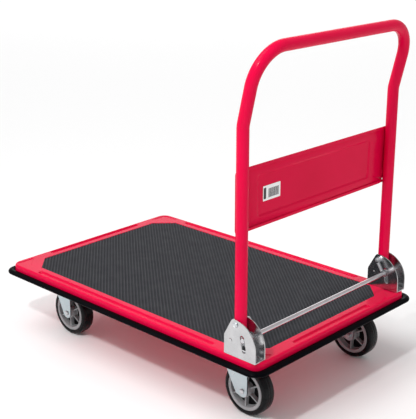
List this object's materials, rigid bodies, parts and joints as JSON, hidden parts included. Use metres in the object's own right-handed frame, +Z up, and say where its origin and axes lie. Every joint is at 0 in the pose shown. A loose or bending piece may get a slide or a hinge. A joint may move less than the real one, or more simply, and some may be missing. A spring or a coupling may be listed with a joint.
{
  "type": "folding platform cart",
  "caption": "Flat-bed hand cart: pressed steel deck with a ribbed mat and rubber bumper, fold-down tube handle with a foot lock bar, two fixed and two swivel castors",
  "frame": {"origin": "on the floor, under the middle of the deck", "axes": "+X toward the handle end, +Y across the cart, +Z up"},
  "size_m": [0.91, 0.61, 0.8657],
  "materials": {
    "red_paint": "glossy red powder coat",
    "mat_vinyl": "ribbed dark grey vinyl mat",
    "bumper_rubber": "smooth black extruded strip",
    "tyre_rubber": "black rubber with a slight sheen",
    "rim_plastic": "grey moulded plastic",
    "nylon": "natural nylon",
    "paper_label": "white printed film",
    "castor_zinc": "clear zinc plated pressed steel",
    "bright_zinc": "bright zinc plated pressed steel",
    "bright_steel": "plated steel",
    "dark_steel": "oiled steel"
  },
  "bodies": {
    "cart": {"axle_bolt_front_left": "bright_steel", "axle_bolt_front_right": "bright_steel", "axle_bush_front_left": "nylon", "axle_bush_front_right": "nylon", "axle_nut_front_left": "bright_steel", "axle_nut_front_right": "bright_steel", "bumper_strip": "bumper_rubber", "castor_plate_rear_left": "castor_zinc", "castor_plate_rear_right": "castor_zinc", "channel_front": "red_paint", "channel_middle": "red_paint", "channel_rear": "red_paint", "deck_mat": "mat_vinyl", "deck_pan": "red_paint", "foot_bolt_left_1": "bright_steel", "foot_bolt_left_2": "bright_steel", "foot_bolt_right_1": "bright_steel", "foot_bolt_right_2": "bright_steel", "fork_front_left": "castor_zinc", "fork_front_right": "castor_zinc", "hinge_bracket_left": "bright_zinc", "hinge_bracket_right": "bright_zinc", "kingpin_rear_left": "bright_steel", "kingpin_rear_right": "bright_steel", "pivot_bolt_left": "bright_steel", "pivot_bolt_right": "bright_steel", "pivot_nut_left": "bright_steel", "pivot_nut_right": "bright_steel", "return_spring_left": "bright_steel", "return_spring_right": "bright_steel", "swivel_race_rear_left": "dark_steel", "swivel_race_rear_right": "dark_steel"},
    "handle": {"handle_tube": "red_paint", "handle_panel": "red_paint", "label": "paper_label"},
    "lock_bar": {"lock_bar": "bright_steel", "lock_clip_left": "dark_steel", "lock_clip_right": "dark_steel"},
    "swivel_fork_left": {"fork_rear_left": "castor_zinc", "axle_bolt_rear_left": "bright_steel", "axle_nut_rear_left": "bright_steel", "axle_bush_rear_left": "nylon"},
    "rear_wheel_left": {"tyre_rear_left": "tyre_rubber", "rim_rear_left": "rim_plastic"},
    "front_wheel_left": {"tyre_front_left": "tyre_rubber", "rim_front_left": "rim_plastic"},
    "swivel_fork_right": {"fork_rear_right": "castor_zinc", "axle_bolt_rear_right": "bright_steel", "axle_nut_rear_right": "bright_steel", "axle_bush_rear_right": "nylon"},
    "rear_wheel_right": {"tyre_rear_right": "tyre_rubber", "rim_rear_right": "rim_plastic"},
    "front_wheel_right": {"tyre_front_right": "tyre_rubber", "rim_front_right": "rim_plastic"}
  },
  "joints": [
    {"name": "handle_fold", "type": "hinge", "parent": "cart", "child": "handle", "pos_m": [0.3765, 0, 0.257], "axis": [0, -1, 0], "range_deg": [0, 98]},
    {"name": "lock_press", "type": "slide", "parent": "cart", "child": "lock_bar", "axis": [0.1908, 0, -0.9816], "range_m": [0, 0.022], "stiffness_N_per_m": 1500, "springref_m": -0.007, "deforming": ["return_spring_left", "return_spring_right"]},
    {"name": "swivel_left", "type": "hinge", "parent": "cart", "child": "swivel_fork_left", "pos_m": [0.312, -0.204, 0.142], "axis": [0, 0, 1], "continuous": true},
    {"name": "rear_wheel_spin_left", "type": "hinge", "parent": "swivel_fork_left", "child": "rear_wheel_left", "pos_m": [0.346, -0.204, 0.0625], "axis": [0, 1, 0], "continuous": true},
    {"name": "front_wheel_spin_left", "type": "hinge", "parent": "cart", "child": "front_wheel_left", "pos_m": [-0.2825, -0.204, 0.0625], "axis": [0, 1, 0], "continuous": true},
    {"name": "swivel_right", "type": "hinge", "parent": "cart", "child": "swivel_fork_right", "pos_m": [0.312, 0.204, 0.142], "axis": [0, 0, 1], "continuous": true},
    {"name": "rear_wheel_spin_right", "type": "hinge", "parent": "swivel_fork_right", "child": "rear_wheel_right", "pos_m": [0.346, 0.204, 0.0625], "axis": [0, 1, 0], "continuous": true},
    {"name": "front_wheel_spin_right", "type": "hinge", "parent": "cart", "child": "front_wheel_right", "pos_m": [-0.2825, 0.204, 0.0625], "axis": [0, 1, 0], "continuous": true}
  ]
}
